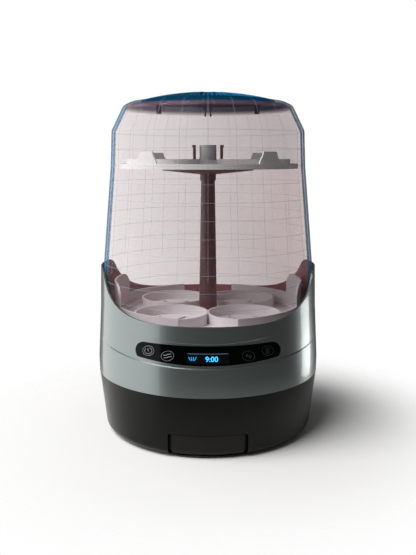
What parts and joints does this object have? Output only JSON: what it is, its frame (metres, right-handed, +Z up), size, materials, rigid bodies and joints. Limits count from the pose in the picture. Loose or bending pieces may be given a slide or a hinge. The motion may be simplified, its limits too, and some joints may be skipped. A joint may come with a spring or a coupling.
{
  "type": "bottle sterilizer",
  "caption": "Countertop steam bottle steriliser and dryer with control panel, clear lift-off lid, bottle rack, post, upper tray and filter drawer.",
  "frame": {"origin": "centre of the footprint, on the surface that the feet stand on", "axes": "+Z up, control panel faces -Y, +X to the right as seen from the front"},
  "size_m": [0.2546, 0.2546, 0.3818],
  "materials": {
    "base_shell": "gloss",
    "bottom_cover": "matte",
    "foot_rubber": "matte",
    "screw_steel": "brushed",
    "grey_housing": "satin",
    "fascia_black": "gloss",
    "display_lens": "gloss",
    "board_green": "satin",
    "dark_part": "matte",
    "white_plastic": "satin",
    "seal_silicone": "matte",
    "stainless": "brushed",
    "element_steel": "satin",
    "heater_alloy": "satin",
    "wire_sheath": "satin",
    "drawer_plastic": "satin",
    "filter_paper": "matte",
    "post_plastic": "satin",
    "clear_lid": "gloss",
    "blue_cap": "gloss"
  },
  "bodies": {
    "base": {"base_housing": "base_shell", "bottom_plate": "bottom_cover", "rubber_feet": "foot_rubber", "housing_screws": "screw_steel", "upper_housing": "grey_housing", "control_fascia": "fascia_black", "display_window": "display_lens", "display_module": "dark_part", "control_board": "board_green", "key_switches": "dark_part", "chamber_deck": "white_plastic", "lid_seal": "seal_silicone", "heating_plate": "stainless", "plate_seal": "seal_silicone", "heating_element": "element_steel", "thermostat": "heater_alloy", "thermal_fuse": "stainless", "blower_housing": "dark_part", "blower_motor": "stainless", "air_duct": "white_plastic", "air_heater": "heater_alloy", "power_board": "board_green", "power_inlet": "dark_part", "wire_harness": "wire_sheath"},
    "drawer": {"filter_drawer": "drawer_plastic", "filter_element": "filter_paper"},
    "blower": {"blower_wheel": "dark_part", "motor_shaft": "stainless"},
    "power_key": {"power_key": "fascia_black"},
    "mode_key": {"mode_key": "fascia_black"},
    "start_pause_key": {"start_pause_key": "fascia_black"},
    "dry_key": {"dry_key": "fascia_black"},
    "rack": {"lower_rack": "white_plastic"},
    "post": {"centre_post": "post_plastic"},
    "tray": {"accessory_tray": "white_plastic"},
    "lid": {"lid_dome": "clear_lid", "lid_cap": "blue_cap"}
  },
  "joints": [
    {"name": "rack_lift", "type": "slide", "parent": "base", "child": "rack", "axis": [0, 0, 1], "range_m": [0, 0.12]},
    {"name": "post_lift", "type": "slide", "parent": "rack", "child": "post", "axis": [0, 0, 1], "range_m": [0, 0.03]},
    {"name": "tray_lift", "type": "slide", "parent": "post", "child": "tray", "axis": [0, 0, 1], "range_m": [0, 0.05]},
    {"name": "lid_lift", "type": "slide", "parent": "tray", "child": "lid", "axis": [0, 0, 1], "range_m": [0, 0.25]},
    {"name": "drawer_slide", "type": "slide", "parent": "base", "child": "drawer", "axis": [0, -1, 0], "range_m": [0, 0.062]},
    {"name": "blower_spin", "type": "hinge", "parent": "base", "child": "blower", "pos_m": [0, 0.045, 0.035], "axis": [0, 0, 1], "continuous": true},
    {"name": "power_key_press", "type": "slide", "parent": "base", "child": "power_key", "axis": [0.4822, 0.8761, 0], "range_m": [0, 0.0008], "stiffness_N_per_m": 400, "springref_m": -0.0002},
    {"name": "mode_key_press", "type": "slide", "parent": "base", "child": "mode_key", "axis": [0.3241, 0.946, 0], "range_m": [0, 0.0008], "stiffness_N_per_m": 400, "springref_m": -0.0002},
    {"name": "start_pause_key_press", "type": "slide", "parent": "base", "child": "start_pause_key", "axis": [-0.3241, 0.946, 0], "range_m": [0, 0.0008], "stiffness_N_per_m": 400, "springref_m": -0.0002},
    {"name": "dry_key_press", "type": "slide", "parent": "base", "child": "dry_key", "axis": [-0.4822, 0.8761, 0], "range_m": [0, 0.0008], "stiffness_N_per_m": 400, "springref_m": -0.0002}
  ]
}
